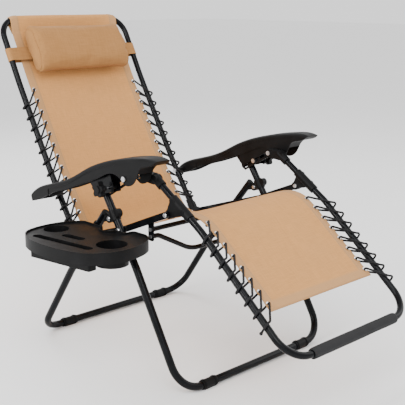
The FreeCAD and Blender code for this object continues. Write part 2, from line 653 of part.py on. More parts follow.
def lacing(holes, wraps, tube_x, rise):
    """Elastic cord from each eyelet down to the tube, round it and back to the next eyelet below."""
    out = FRAME_R + CORD_R + CORD_GAP
    corners = []
    radii = []
    for hole, (meet, over, under) in zip(holes, wraps):
        for (point, _, normal), x, lift, radius in ((hole, EYELET_X, -7.5, 3.1), (hole, EYELET_X, 7.5, 3.1),
                                                    (meet, tube_x - 2.0, out + rise, 11.5),
                                                    (over, tube_x + out, out + rise, 11.5),
                                                    (under, tube_x + out, -out, 11.5)):
            corners.append(point + V(x, 0, 0) + normal * lift)
            radii.append(radius)
    cord = sweep(bent_wire(corners, radii[1:-1]), CORD_R)
    knots = [Part.makeSphere(CORD_R + 1.6, corners[0]), Part.makeSphere(CORD_R + 1.6, corners[-1])]
    return cord.fuse(knots)


def sling_shoulder():
    """What is cut off an upper corner of the back panel so that it clears the bend of the frame."""
    length = back_curve().Length
    centre, along, normal = wire_frame(back_curve(), length - BACK_CORNER_R)
    x = BACK_X - BACK_CORNER_R
    low = centre + V(x, 0, 0) - normal * 20
    corners = [low, low + V(90, 0, 0), low + V(90, 0, 0) + along * 90, low + along * 90]
    block = Part.Face(Part.makePolygon(corners + corners[:1])).extrude(normal * 40)
    return block.cut(Part.makeCylinder(SHOULDER_R, 40, low, normal))


def back_panel():
    """Back of the sling, with the sleeve that is sewn round the top bar of the frame."""
    curve = back_curve()
    panel = ribbon(stretch(curve, SLING_SPLIT_BACK, curve.Length - FRAME_R - 0.2), SLING_HALF, SLING_T)
    panel = panel.cut([sling_shoulder(), mirrored(sling_shoulder())])
    half = BACK_X - BACK_CORNER_R - 2
    inside = FRAME_R + SLEEVE_PLAY
    sleeve = rod(-half, half, BACK_TOP, inside + SLING_T)
    return panel.fuse(sleeve).removeSplitter().cut(rod(-BACK_X, BACK_X, BACK_TOP, inside))


def sling():
    front = front_curve()
    rest_start = front.Length - SLING_SPLIT_REST
    back = back_panel()
    rest = ribbon(stretch(front, rest_start, front.Length), SLING_HALF, SLING_T)
    save("sling_seat", ribbon(stretch(front, 0.0, rest_start - SPLIT_GAP), SLING_HALF, SLING_T))

    back_steps = [BACK_EYELET_FIRST + BACK_EYELET_PITCH * k for k in reversed(range(BACK_EYELETS))]
    back_holes = [wire_frame(back_curve(), step) for step in back_steps]
    back_wraps = []
    for step in back_steps:
        back_wraps.append([wire_frame(back_curve(), max(step - drop, CORD_LOW)) for drop in CORD_DROP])
    rest_steps = [REST_EYELET_LAST + REST_EYELET_PITCH * k for k in reversed(range(REST_EYELETS))]
    rest_holes = [wire_frame(front, front.Length - step, -1) for step in rest_steps]
    hem = math.hypot(REST_BEND[0] - REST_TOP[0], REST_BEND[1] - REST_TOP[1]) + SLING_END
    rest_wraps = []
    for step in rest_steps:
        rest_wraps.append([wire_frame(rest_curve(), hem - step + drop, -1) for drop in CORD_DROP])
    for name, panel, holes in (("sling_back", back, back_holes), ("sling_legrest", rest, rest_holes)):
        sides = [(hole, x) for hole in holes for x in (-EYELET_X, EYELET_X)]
        save(name, panel.cut([through(hole, x, 4.25) for hole, x in sides]))
        save(name + "_eyelets", Part.Compound([eyelet(hole, x) for hole, x in sides]))

    back_cord = lacing(back_holes, back_wraps, BACK_X, 1.0)
    save("back_lacing_left", back_cord)
    save("back_lacing_right", mirrored(back_cord))
    rest_cord = lacing(rest_holes, rest_wraps, REST_X, 5.0)
    save("legrest_lacing_left", rest_cord)
    save("legrest_lacing_right", mirrored(rest_cord))


# ---- headrest pillow ----------------------------------------------------------------------
PILLOW_PLACE = 629.0        # from the back pivot up the tube


def pillow():
    point, across, normal = wire_frame(back_curve(), PILLOW_PLACE)
    strap_in = FRAME_R + 0.6
    strap_out = strap_in + 1.6
    centre = point + V(PILLOW_SHIFT, 0, 0) + normal * (strap_out + PILLOW_DEEP / 2 + 0.1)
    ellipse = Part.Ellipse(centre + across * (PILLOW_LONG / 2), centre + normal * (PILLOW_DEEP / 2), centre)
    face = Part.Face(Part.Wire(ellipse.toShape()))
    solid = face.extrude(V(PILLOW_HALF, 0, 0)).fuse(face.extrude(V(-PILLOW_HALF, 0, 0))).removeSplitter()
    save("headrest_pillow", solid)
    strap = strap_loop(point, across, normal, strap_out).cut(strap_loop(point, across, normal, strap_in))
    save("pillow_strap", strap)


def strap_loop(point, across, normal, reach):
    """Solid stadium round both back tubes, at the given distance from their middles."""
    base = point - across * (STRAP_W / 2)
    a, b = base + V(BACK_X, 0, 0), base - V(BACK_X, 0, 0)
    lift = normal * reach
    curves = [Part.LineSegment(a + lift, b + lift), Part.Arc(b + lift, b - V(reach, 0, 0), b - lift),
              Part.LineSegment(b - lift, a - lift), Part.Arc(a - lift, a + V(reach, 0, 0), a + lift)]
    outline = Part.Wire([curve.toShape() for curve in curves])
    return Part.Face(outline).extrude(across * STRAP_W)


# ---- side tray ----------------------------------------------------------------------------
TRAY_IN = LEG_X + 15.4
TRAY_REAR = (TRAY_IN, 146.0)
TRAY_FRONT = (286.0, -88.0)
TRAY_ROUND = [TRAY_FRONT, (311.0, -129.0), (364.0, -156.0), (443.0, -163.0), (505.0, -129.0), (538.0, -47.0),
              (545.0, 30.0), (534.0, 110.0), (500.0, 165.0), (440.0, 185.0), (372.0, 180.0), TRAY_REAR]
LOBE_REAR = -36.5       # rear edge of the part of the tray that reaches in before the front leg
TRAY_CORNER_R = 12.0
TRAY_SKIRT = 28.0
TRAY_LIP = 5.0
TRAY_T = 3.0
WELL_WALL = 2.5
FRONT_CUP, FRONT_CUP_R, FRONT_CUP_DEEP = (403.0, -88.0), 42.0, 54.0
REAR_CUP, REAR_CUP_R, REAR_CUP_DEEP = (417.0, 142.0), 36.0, 26.0
LONG_SLOT = ((497.0, 118.0), (470.0, -76.0), 12.0, 58.0)     # ends in plan, half width, depth
SHORT_SLOT = ((437.0, 66.0), (429.0, 12.0), 12.0, 16.0)
NOTCH, NOTCH_R = (TRAY_IN - 2.0, 32.0), 29.0


def tray_rim(inset):
    """Plan points of the tray's rim from its front inner corner round to the rear one, drawn in."""
    points = [(TRAY_FRONT[0] + inset, TRAY_FRONT[1])]
    for before, point, after in zip(TRAY_ROUND[:-2], TRAY_ROUND[1:-1], TRAY_ROUND[2:]):
        along = unit(before, after)
        points.append((point[0] - along[1] * inset, point[1] + along[0] * inset))
    return points + [(TRAY_REAR[0] + inset, TRAY_REAR[1] - inset)]


def tray_solid(inset, z0, z1):
    """Rounded tray outline, drawn in by an inset, between two heights."""
    points = [V(x, y, z0) for x, y in tray_rim(inset)]
    rim = Part.BSplineCurve()
    rim.interpolate(points)
    turn = V(points[-1].x, LOBE_REAR - inset, z0)
    inner_edge = Part.makePolygon([points[-1], turn, V(points[0].x, turn.y, z0), points[0]])
    solid = Part.Face(Part.Wire(inner_edge.Edges + [rim.toShape()])).extrude(V(0, 0, z1 - z0))
    upright = [edge for edge in solid.Edges if abs(edge.tangentAt(edge.FirstParameter).z) > 0.9]
    return solid.makeFillet(TRAY_CORNER_R - inset, upright)


def slot_box(a, b, half, z0, z1):
    """Upright slot with round ends between two plan points."""
    dx, dy = b[0] - a[0], b[1] - a[1]
    length = math.hypot(dx, dy)
    nx, ny = -dy / length * half, dx / length * half
    corners = [V(a[0] + nx, a[1] + ny, z0), V(b[0] + nx, b[1] + ny, z0), V(b[0] - nx, b[1] - ny, z0),
               V(a[0] - nx, a[1] - ny, z0)]
    block = Part.Face(Part.makePolygon(corners + corners[:1])).extrude(V(0, 0, z1 - z0))
    ends = [Part.makeCylinder(half, z1 - z0, V(p[0], p[1], z0)) for p in (a, b)]
    return block.fuse(ends).removeSplitter()


def cup_well(centre, radius, depth):
    """Outside and inside of a round well in the tray."""
    outside = Part.makeCylinder(radius + WELL_WALL, depth, V(*centre, TRAY_Z - depth))
    return outside, Part.makeCylinder(radius, depth, V(*centre, TRAY_Z - depth + WELL_WALL))


def slot_well(a, b, half, depth):
    """Outside and inside of a slot in the tray. The outside is a box with square ends."""
    reach = half + WELL_WALL
    box = Part.makeBox(math.dist(a, b) + 2 * reach, 2 * reach, depth, V(-reach, -reach, 0))
    upright = [edge for edge in box.Edges if abs(edge.tangentAt(edge.FirstParameter).z) > 0.9]
    box = box.makeFillet(5.0, upright)
    box.rotate(V(0, 0, 0), V(0, 0, 1), math.degrees(math.atan2(b[1] - a[1], b[0] - a[0])))
    box.translate(V(a[0], a[1], TRAY_Z - depth))
    return box, slot_box(a, b, half, TRAY_Z - depth + WELL_WALL, TRAY_Z + 1)


def tray():
    low, high = TRAY_Z - TRAY_SKIRT, TRAY_Z + TRAY_LIP
    shell = tray_solid(0, low, high)
    shell = shell.cut([tray_solid(TRAY_T, low - 1, TRAY_Z - TRAY_T), tray_solid(TRAY_T, TRAY_Z, high + 1)])
    wells = [cup_well(FRONT_CUP, FRONT_CUP_R, FRONT_CUP_DEEP), cup_well(REAR_CUP, REAR_CUP_R, REAR_CUP_DEEP),
             slot_well(*LONG_SLOT), slot_well(*SHORT_SLOT)]
    shell = shell.fuse([outside for outside, _ in wells]).cut([inside for _, inside in wells])
    wall = Part.makeCylinder(NOTCH_R + TRAY_T, high - low, V(*NOTCH, low)).common(tray_solid(0, low, high))
    notch = Part.makeCylinder(NOTCH_R, high - low + 20, V(*NOTCH, low - 10))
    save("side_tray", mirrored(shell.fuse(wall).cut(notch).removeSplitter()))


def tray_clip(line_from, line_to, drop, side):
    """Half ring over the upper side of a leg tube, joined to the inner skirt of the tray."""
    z = TRAY_Z - drop
    y = line_from[0] + (line_to[0] - line_from[0]) * (z - line_from[1]) / (line_to[1] - line_from[1])
    a = toward((y, z), line_from, 11)
    b = toward((y, z), line_to, 11)
    along = unit(a, b)
    reach = 40.0 * side
    up = (-along[1] * reach, along[0] * reach)
    keep = plate([a, b, (b[0] + up[0], b[1] + up[1]), (a[0] + up[0], a[1] + up[1])], LEG_X - 30, LEG_X + 30)
    ring = bar(at(LEG_X, a), at(LEG_X, b), LEG_R + 4.2).common(keep)
    front = max(y - 30, LOBE_REAR + TRAY_CORNER_R + 0.5)
    tab = keep.common(Part.makeBox(3.3, y + 30 - front, 24, V(TRAY_IN - 3.4, front, TRAY_Z - 24)))
    room = bar(at(LEG_X, toward(a, b, -60)), at(LEG_X, toward(a, b, 80)), LEG_R + 0.4)
    return ring.fuse(tab).cut(room).removeSplitter()


def tray_clips():
    front = tray_clip(FRONT_BEND, FRONT_TOP, 21.0, 1)
    rear = tray_clip(REAR_BEND, REAR_TOP, 8.0, -1)
    save("tray_clips", mirrored(Part.Compound([front, rear])))


def main():
    os.makedirs("parts", exist_ok=True)
    floor_legs()
    locks()
    seat_frame()
    back_assembly()
    rest_assembly()
    armrests()
    sling()
    pillow()
    tray()
    tray_clips()


main()
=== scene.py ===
import bpy
import json
import math
from mathutils import Matrix, Vector, noise


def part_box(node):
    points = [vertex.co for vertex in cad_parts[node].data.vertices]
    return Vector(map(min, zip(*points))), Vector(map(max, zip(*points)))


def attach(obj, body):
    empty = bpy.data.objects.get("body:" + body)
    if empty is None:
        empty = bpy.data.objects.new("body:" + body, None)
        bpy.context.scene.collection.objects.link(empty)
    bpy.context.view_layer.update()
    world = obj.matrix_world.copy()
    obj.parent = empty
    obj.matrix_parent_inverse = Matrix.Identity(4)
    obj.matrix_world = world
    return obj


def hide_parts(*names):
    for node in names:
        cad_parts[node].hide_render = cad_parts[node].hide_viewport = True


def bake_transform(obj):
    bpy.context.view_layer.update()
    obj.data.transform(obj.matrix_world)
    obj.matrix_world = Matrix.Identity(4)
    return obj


# Zero gravity recliner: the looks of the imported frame. Metres, +Z up, the sitter looks along -Y.
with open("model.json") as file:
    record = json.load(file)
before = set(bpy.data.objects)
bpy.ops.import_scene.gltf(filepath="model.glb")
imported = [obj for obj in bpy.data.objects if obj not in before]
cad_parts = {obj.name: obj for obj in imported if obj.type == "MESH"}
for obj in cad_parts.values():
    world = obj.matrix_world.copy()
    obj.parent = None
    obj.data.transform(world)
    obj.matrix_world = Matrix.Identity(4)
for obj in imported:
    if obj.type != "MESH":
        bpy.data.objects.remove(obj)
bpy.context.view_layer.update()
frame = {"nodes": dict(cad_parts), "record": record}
NODES = frame["nodes"]
JOINTS = {joint["name"]: joint for joint in frame["record"]["behaviour"]["joints"]}
SLOT_OF = {part["node"]: part["material_slot"] for part in frame["record"]["subparts"]}

CLOTH_COLOUR = (0.55, 0.262, 0.085)
HEM_COLOUR = (0.44, 0.25, 0.115)
THREAD_COLOUR = (0.34, 0.19, 0.085)
HEM = 0.030                 # width of the folded side hem
CLOTH_T = 0.0009            # half thickness of the cloth
HEM_T = 0.0015              # half thickness of the folded hem
STITCH = 0.0075             # length of one stitch and its gap
THREAD = 0.0017             # spacing of the threads of the weave
TUBE_R = 0.0095             # outer radius of the back and legrest tube
TOP_BAR_BEND = 0.062        # bend radius of the top bar's corners, on the tube's middle line
SLEEVE_REACH = 0.045        # from the middle of the top bar to the seam of the cloth's sleeve
ACROSS = Vector((1.0, 0.0, 0.0))


# ---- materials ----------------------------------------------------------------------------
class Graph:
    """A material with a short way of adding and joining nodes."""

    def __init__(self, name):
        self.material = bpy.data.materials.new(name)
        self.material.use_nodes = True
        self.tree = self.material.node_tree
        self.shader = self.tree.nodes["Principled BSDF"]

    def add(self, kind, inputs=(), **settings):
        node = self.tree.nodes.new(kind)
        for key, value in settings.items():
            setattr(node, key, value)
        for key, value in dict(inputs).items():
            if isinstance(value, bpy.types.NodeSocket):
                self.tree.links.new(value, node.inputs[key])
            else:
                node.inputs[key].default_value = value
        return node

    def set(self, **values):
        for key, value in values.items():
            socket = self.shader.inputs[key.replace("_", " ")]
            if isinstance(value, bpy.types.NodeSocket):
                self.tree.links.new(value, socket)
            else:
                socket.default_value = value

    def math(self, operation, a, b=0.0):
        return self.add("ShaderNodeMath", {0: a, 1: b}, operation=operation).outputs[0]

    def spread(self, value, low, high, to_low, to_high):
        inputs = {"Value": value, "From Min": low, "From Max": high, "To Min": to_low, "To Max": to_high}
        return self.add("ShaderNodeMapRange", inputs).outputs["Result"]

    def mix(self, factor, a, b):
        node = self.add("ShaderNodeMix", data_type="RGBA")
        for socket, value in ((node.inputs[0], factor), (node.inputs[6], a), (node.inputs[7], b)):
            if isinstance(value, bpy.types.NodeSocket):
                self.tree.links.new(value, socket)
            else:
                socket.default_value = value if not isinstance(value, tuple) else value + (1.0,)
        return node.outputs[2]

    def place(self, scale, source="Object"):
        where = self.add("ShaderNodeTexCoord").outputs[source]
        return self.add("ShaderNodeMapping", {"Vector": where, "Scale": scale}).outputs["Vector"]

    def noise(self, scale, detail=3.0, stretch=(1.0, 1.0, 1.0), source="Object"):
        inputs = {"Vector": self.place(stretch, source), "Scale": scale, "Detail": detail}
        return self.add("ShaderNodeTexNoise", inputs).outputs["Fac"]

    def bump(self, height, strength, distance, before=None):
        inputs = {"Height": height, "Strength": strength, "Distance": distance}
        if before:
            inputs["Normal"] = before
        return self.add("ShaderNodeBump", inputs).outputs["Normal"]


def wave(graph, pitch, direction, source):
    """Bands of the given pitch in metres."""
    scale = 2 * math.pi / (20 * pitch)
    inputs = {"Vector": graph.place((1.0, 1.0, 1.0), source), "Scale": scale, "Distortion": 0.6}
    node = graph.add("ShaderNodeTexWave", inputs, bands_direction=direction)
    return node.outputs["Fac"]


def cloth(name, source, hems, shade=1.0):
    """Coated open weave: two sets of threads, slubs in both directions, and stitched hems."""
    g = Graph(name)
    warp = wave(g, THREAD, "X", source)
    weft = wave(g, THREAD, "Y" if source == "UV" else "Z", source)
    weave = g.math("MAXIMUM", warp, weft)
    along = (420.0, 26.0, 420.0 if source == "UV" else 26.0)
    across = (26.0, 420.0, 420.0)
    slub = g.math("ADD", g.noise(1.0, 2.0, along, source), g.noise(1.0, 2.0, across, source))
    tone = g.spread(slub, 0.75, 1.25, 0.0, 1.0)
    dark = tuple(0.90 * shade * c for c in CLOTH_COLOUR)
    light = tuple(1.07 * shade * c for c in CLOTH_COLOUR)
    colour = g.mix(tone, dark, light)
    patches = g.spread(g.noise(9.0, 2.0), 0.3, 0.7, 0.0, 0.10)
    colour = g.mix(patches, colour, HEM_COLOUR)
    gaps = g.spread(weave, 0.0, 0.35, 0.22, 0.0)
    colour = g.mix(gaps, colour, THREAD_COLOUR)
    if hems:
        hem = g.add("ShaderNodeAttribute", attribute_name="hem").outputs["Fac"]
        colour = g.mix(g.math("MULTIPLY", hem, 0.75), colour, HEM_COLOUR)
        seam = g.add("ShaderNodeAttribute", attribute_name="seam").outputs["Fac"]
        run = g.add("ShaderNodeSeparateXYZ", {0: g.place((1.0, 1.0, 1.0), source)})
        length = g.math("ADD", run.outputs["X"], run.outputs["Y"])
        dash = g.math("GREATER_THAN", g.math("FRACT", g.math("DIVIDE", length, STITCH)), 0.35)
        stitch = g.math("MULTIPLY", g.spread(seam, 0.55, 0.8, 0.0, 0.8), dash)
        colour = g.mix(stitch, colour, THREAD_COLOUR)
    g.set(Base_Color=colour, Roughness=g.spread(slub, 0.7, 1.3, 0.86, 0.72))
    g.set(Sheen_Weight=0.04, Sheen_Roughness=0.45, Specular_IOR_Level=0.12)
    coarse = g.bump(slub, 0.35, 0.0006)
    g.set(Normal=g.bump(weave, 0.45, 0.0004, coarse))
    return g.material


def powder_coat():
    """Black powder coat on steel tube: fine orange peel, dust and rubbed patches."""
    g = Graph("powder_coat")
    rub = g.noise(34.0, 4.0)
    colour = g.mix(g.spread(rub, 0.45, 0.75, 0.0, 0.5), (0.0025, 0.0028, 0.0036), (0.006, 0.0067, 0.0086))
    g.set(Base_Color=colour, Roughness=g.spread(rub, 0.3, 0.7, 0.17, 0.27))
    g.set(Specular_IOR_Level=0.12)
    g.set(Normal=g.bump(g.noise(520.0, 2.0), 0.12, 0.0003))
    return g.material


def moulded(name, low, high, rough):
    """Moulded plastic with a fine grain, paler where it is handled."""
    g = Graph(name)
    worn = g.noise(22.0, 4.0)
    colour = g.mix(g.spread(worn, 0.4, 0.75, 0.0, 1.0), (low, low, low * 1.05), (high, high, high * 1.06))
    g.set(Base_Color=colour, Roughness=g.spread(worn, 0.3, 0.7, rough, rough + 0.12))
    grain = g.add("ShaderNodeTexVoronoi", {"Vector": g.place((1.0, 1.0, 1.0)), "Scale": 900.0})
    g.set(Specular_IOR_Level=0.11, Normal=g.bump(grain.outputs["Distance"], 0.22, 0.0002))
    return g.material


def metal(name, colour, rough):
    """Bright plated steel with faint turning marks and dull spots."""
    g = Graph(name)
    dull = g.noise(160.0, 3.0)
    g.set(Base_Color=g.mix(g.spread(dull, 0.4, 0.8, 0.0, 0.6), colour, tuple(0.6 * c for c in colour)))
    g.set(Metallic=1.0, Roughness=g.spread(dull, 0.3, 0.7, rough, rough + 0.16))
    g.set(Normal=g.bump(g.noise(900.0, 2.0), 0.15, 0.0001))
    return g.material


def foam():
    """Black closed cell foam with open pores on its skin."""
    g = Graph("closed_cell_foam")
    pores = g.add("ShaderNodeTexVoronoi", {"Vector": g.place((1.0, 1.0, 1.0)), "Scale": 620.0})
    tone = g.noise(30.0, 3.0)
    g.set(Base_Color=g.mix(tone, (0.008, 0.008, 0.009), (0.016, 0.016, 0.017)))
    g.set(Roughness=0.78, Specular_IOR_Level=0.3)
    g.set(Normal=g.bump(pores.outputs["Distance"], 0.5, 0.0006))
    return g.material


def braid():
    """Cover of the elastic cord: a fine diagonal braid with paler flecks."""
    g = Graph("braided_cord")
    strands = wave(g, 0.0016, "DIAGONAL", "Object")
    flecks = g.noise(700.0, 1.0)
    pale = g.spread(flecks, 0.55, 0.8, 0.0, 0.6)
    g.set(Base_Color=g.mix(pale, (0.005, 0.005, 0.006), (0.03, 0.03, 0.032)), Specular_IOR_Level=0.25)
    g.set(Roughness=g.spread(flecks, 0.3, 0.7, 0.6, 0.75), Normal=g.bump(strands, 0.6, 0.0005))
    return g.material


def floor_paint():
    """Plain pale floor with a faint unevenness."""
    g = Graph("pale_floor")
    tone = g.noise(1.3, 2.0)
    g.set(Base_Color=g.mix(tone, (0.90, 0.90, 0.90), (0.93, 0.93, 0.93)), Roughness=0.8)
    return g.material


MATERIALS = {
    "black_powder_coat": powder_coat(),
    "black_plastic": moulded("moulded_plastic", 0.0035, 0.007, 0.42),
    "bright_steel": metal("bright_steel", (0.62, 0.62, 0.63), 0.28),
    "eyelet_metal": metal("eyelet_metal", (0.78, 0.78, 0.79), 0.22),
    "sling_fabric": cloth("sling_cloth", "UV", True),
    "pillow_fabric": cloth("pillow_cloth", "Object", False, 0.62),
    "black_foam": foam(),
    "elastic_cord": braid(),
}


def paint(piece, slot):
    piece.data.materials.clear()
    piece.data.materials.append(MATERIALS[slot])


def dress_frame():
    """Every carried-over CAD node takes the procedural material of its slot."""
    for name, node in NODES.items():
        for index in range(max(1, len(node.material_slots))):
            if not node.material_slots:
                node.data.materials.append(MATERIALS[SLOT_OF[name]])
            node.material_slots[index].material = MATERIALS[SLOT_OF[name]]


# ---- mesh helpers -------------------------------------------------------------------------
def make_piece(name, vertices, faces, smooth=True):
    mesh = bpy.data.meshes.new(name)
    mesh.from_pydata(vertices, [], faces)
    mesh.update()
    piece = bpy.data.objects.new(name, mesh)
    bpy.context.scene.collection.objects.link(piece)
    if smooth:
        mesh.shade_smooth()
    return piece


def points_of(name):
    return [vertex.co.copy() for vertex in NODES[name].data.vertices]


def islands(name):
    """Middles of the separate solids in a CAD node."""
    mesh = NODES[name].data
    group = list(range(len(mesh.vertices)))

    def root(i):
        while group[i] != i:
            group[i] = group[group[i]]
            i = group[i]
        return i

    for edge in mesh.edges:
        group[root(edge.vertices[0])] = root(edge.vertices[1])
    found = {}
    for i, vertex in enumerate(mesh.vertices):
        found.setdefault(root(i), []).append(vertex.co)
    middles = []
    for members in found.values():
        low = Vector([min(p[k] for p in members) for k in range(3)])
        high = Vector([max(p[k] for p in members) for k in range(3)])
        middles.append((low + high) / 2)
    return middles


def loft(rings, capped=True):
    """Vertices and faces of a skin over closed rings with the same number of points."""
    count = len(rings[0])
    vertices = [point for ring in rings for point in ring]
    faces = []
    for r in range(len(rings) - 1):
        for k in range(count):
            a, b = r * count + k, r * count + (k + 1) % count
            faces.append((a, b, b + count, a + count))
    if capped:
        faces.append(tuple(reversed(range(count))))
        faces.append(tuple(range((len(rings) - 1) * count, len(rings) * count)))
    return vertices, faces


def tube_round(path, radius, sides):
    """Rings of a round tube that follows a closed path in the side view."""
    turn = [2 * math.pi * k / sides for k in range(sides)]
    rings = []
    for i, point in enumerate(path):
        along = (path[(i + 1) % len(path)] - path[i - 1]).normalized()
        side = along.cross(ACROSS).normalized()
        other = along.cross(side)
        rings.append([point + (side * math.cos(t) + other * math.sin(t)) * radius for t in turn])
    return rings + [rings[0]]


# ---- sling --------------------------------------------------------------------------------
SLING_NODES = ("sling_back", "sling_seat", "sling_legrest")
FOCUS = Vector((0.0, 0.02, 0.75))       # a place above the seat that sees the whole sling
RAYS = 1200                             # sent from there to find the front surface of the sling
ROW = 0.008                             # spacing of the rows of cloth
SURFACE_GAP = 0.0011                    # from the CAD sling's front surface to the cloth's middle
MIDDLE_COLUMNS = 40                     # spaces across the cloth between its hems
CREASE_HALF = 0.011                     # half width of the crease down the middle
SLEEVE_STEPS = 6                        # rows of cloth on each flat side of the sleeve
BAR_STEPS = 16                          # rows of cloth round the top bar


def side_profile():
    """Front surface of the sling in the side view, from the front hem up to the top bar."""
    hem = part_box("sling_legrest")[0]
    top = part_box("sling_back")[1]
    first = math.atan2(hem.z - FOCUS.z, hem.y - FOCUS.y) % (2 * math.pi)
    last = math.atan2(top.z - FOCUS.z, top.y - FOCUS.y) + 2 * math.pi
    hits = []
    for k in range(RAYS + 1):
        angle = first - 0.02 + (last - first + 0.02) * k / RAYS
        ray = Vector((0.0, math.cos(angle), math.sin(angle)))
        nearest = None
        for name in SLING_NODES:
            hit, place, _, _ = NODES[name].ray_cast(FOCUS, ray)
            if hit and (nearest is None or (place - FOCUS).length < (nearest - FOCUS).length):
                nearest = place
        if nearest is not None:
            hits.append(nearest)
    return hits


def resample(points, step):
    """Points at even steps along a polyline."""
    total = sum((b - a).length for a, b in zip(points[:-1], points[1:]))
    count = max(2, round(total / step))
    places = [points[0].copy()]
    gone, goal = 0.0, total / count
    for a, b in zip(points[:-1], points[1:]):
        span = (b - a).length
        while span > 0 and goal <= gone + span + 1e-9 and len(places) <= count:
            places.append(a.lerp(b, (goal - gone) / span))
            goal = total / count * len(places)
        gone += span
    return places


def eased(points, rounds):
    """A path with its corners rounded, and its ends kept."""
    for _ in range(rounds):
        middle = [(a + b * 2 + c) / 4 for a, b, c in zip(points[:-2], points[1:-1], points[2:])]
        points = [points[0]] + middle + [points[-1]]
    return points


def normal_at(points, i):
    """Sitter side normal of a side view path that runs from the feet to the head."""
    along = (points[min(i + 1, len(points) - 1)] - points[max(i - 1, 0)]).normalized()
    return Vector((0.0, -along.z, along.y))


def smoothstep(value, low, high):
    t = min(1.0, max(0.0, (value - low) / (high - low)))
    return t * t * (3 - 2 * t)


SLING_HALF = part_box("sling_seat")[1].x
EDGE_COLUMNS = [0.0, 0.0008, 0.003, 0.010, 0.018, HEM - 0.0025, HEM - 0.0008, HEM + 0.0008, HEM + 0.004]


def columns():
    """Places across the cloth, closer together at the edges and the hems."""
    inner = SLING_HALF - EDGE_COLUMNS[-1]
    middle = [-inner + 2 * inner * k / MIDDLE_COLUMNS for k in range(1, MIDDLE_COLUMNS)]
    left = [-SLING_HALF + edge for edge in EDGE_COLUMNS]
    return left + middle + [-x for x in reversed(left)]


def hem_share(distance):
    """1 in a folded hem, 0 in single cloth, for a distance from the cloth's edge."""
    return 1.0 - smoothstep(distance, HEM - 0.0008, HEM + 0.0012)


def half_thickness(distance):
    """Half the cloth's thickness, which tapers to a rounded edge."""
    body = CLOTH_T + (HEM_T - CLOTH_T) * hem_share(distance)
    return body * math.sqrt(min(1.0, distance / 0.0016 + 0.12))


class Row:
    """One line of cloth across the chair.

    wrap is 1 where the cloth follows the top bar, and end is the distance to a hem across the cloth.
    """

    def __init__(self, middle, normal, length, wrap=0.0, end=math.inf):
        self.middle, self.normal, self.length, self.wrap, self.end = middle, normal, length, wrap, end


def bar_straight():
    """Half length of the straight part of the top bar."""
    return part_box("back_frame")[1].x - TUBE_R - TOP_BAR_BEND


def bar_drop(x, straight):
    """How far the top bar has turned down at x, past the start of its corner."""
    over = max(0.0, abs(x) - straight)
    return TOP_BAR_BEND - math.sqrt(max(0.0, TOP_BAR_BEND ** 2 - over ** 2))


def cloth_lift(row, x, pull, fold):
    """Height of the cloth over its row at x: sag, laced edge, crease and ripples."""
    sag = 0.0045 * (1.0 - row.wrap) * smoothstep(row.end, 0.0, 0.05)
    near = math.exp(-(SLING_HALF - abs(x)) / 0.028)
    crease = math.exp(-((x - 0.012 - 0.02 * math.sin(row.length * 6.0)) / CREASE_HALF) ** 2)
    lift = -sag * (1.0 - (x / SLING_HALF) ** 2) - 0.0009 * pull * near
    lift -= fold * crease * (1.0 - row.wrap) * smoothstep(row.end, 0.02, 0.08)
    lift += 0.0011 * noise.noise(Vector((x * 7.0, row.length * 5.0, 0.3)))
    return lift + 0.0005 * noise.noise(Vector((x * 26.0, row.length * 19.0, 4.7)))


def sheet_faces(rows, across):
    """Faces of a closed sheet: its upper grid of points, its lower one, and the edge between them."""
    count = rows * across
    faces = []
    for r in range(rows - 1):
        for c in range(across - 1):
            a = r * across + c
            faces.append((a, a + 1, a + 1 + across, a + across))
            faces.append((a + count, a + across + count, a + 1 + across + count, a + 1 + count))
        first, last = r * across, (r + 1) * across - 1
        faces.append((first, first + across, first + across + count, first + count))
        faces.append((last + across, last, last + count, last + across + count))
    for c in range(across - 1):
        last = (rows - 1) * across + c
        faces.append((c, c + count, c + 1 + count, c + 1))
        faces.append((last, last + 1, last + 1 + count, last + count))
    return faces


def cloth_mesh(name, rows, lace, along_top, fold):
    """Closed sheet over the rows, scalloped between the laced eyelets."""
    xs = columns()
    straight = bar_straight()
    upper, lower, lengths, hems, seams = [], [], [], [], []
    for row in rows:
        pull = lace(row.length)
        for x in xs:
            inward = -0.0026 * pull * (abs(x) / SLING_HALF) ** 10
            middle = row.middle + ACROSS * (x + math.copysign(1.0, x) * inward)
            middle += row.normal * cloth_lift(row, x, pull, fold)
            middle -= along_top * (row.wrap * bar_drop(x, straight))
            edge = min(SLING_HALF - abs(x), row.end)
            upper.append(middle + row.normal * half_thickness(edge))
            lower.append(middle - row.normal * half_thickness(edge))
            lengths.append((x, row.length))
            hems.append(hem_share(edge))
            seams.append(max(0.0, 1.0 - abs(edge - HEM + 0.002) / 0.003))
    piece = make_piece(name, upper + lower, sheet_faces(len(rows), len(xs)))
    uv = piece.data.uv_layers.new(name="cloth")
    for loop in piece.data.loops:
        uv.data[loop.index].uv = lengths[loop.vertex_index % len(lengths)]
    for key, values in (("hem", hems), ("seam", seams)):
        layer = piece.data.attributes.new(key, "FLOAT", "POINT")
        layer.data.foreach_set("value", values + values)
    return piece


def laced(places, pitch):
    """1 midway between eyelets, 0 at one, fading out past the first and the last."""
    low, high = min(places), max(places)

    def pull(length):
        inside = smoothstep(length, low - pitch, low) * (1.0 - smoothstep(length, high, high + pitch))
        nearest = min(abs(length - place) for place in places)
        return inside * 0.5 * (1.0 - math.cos(2 * math.pi * min(nearest / pitch, 0.5)))
    return pull


def lengths_of(centres, points):
    """Distance along the path of each eyelet on one side."""
    found = []
    for centre in centres:
        if centre.x < 0:
            continue
        gaps = [(Vector((0.0, centre.y, centre.z)) - point).length for point in points]
        found.append(ROW * gaps.index(min(gaps)))
    return sorted(found)


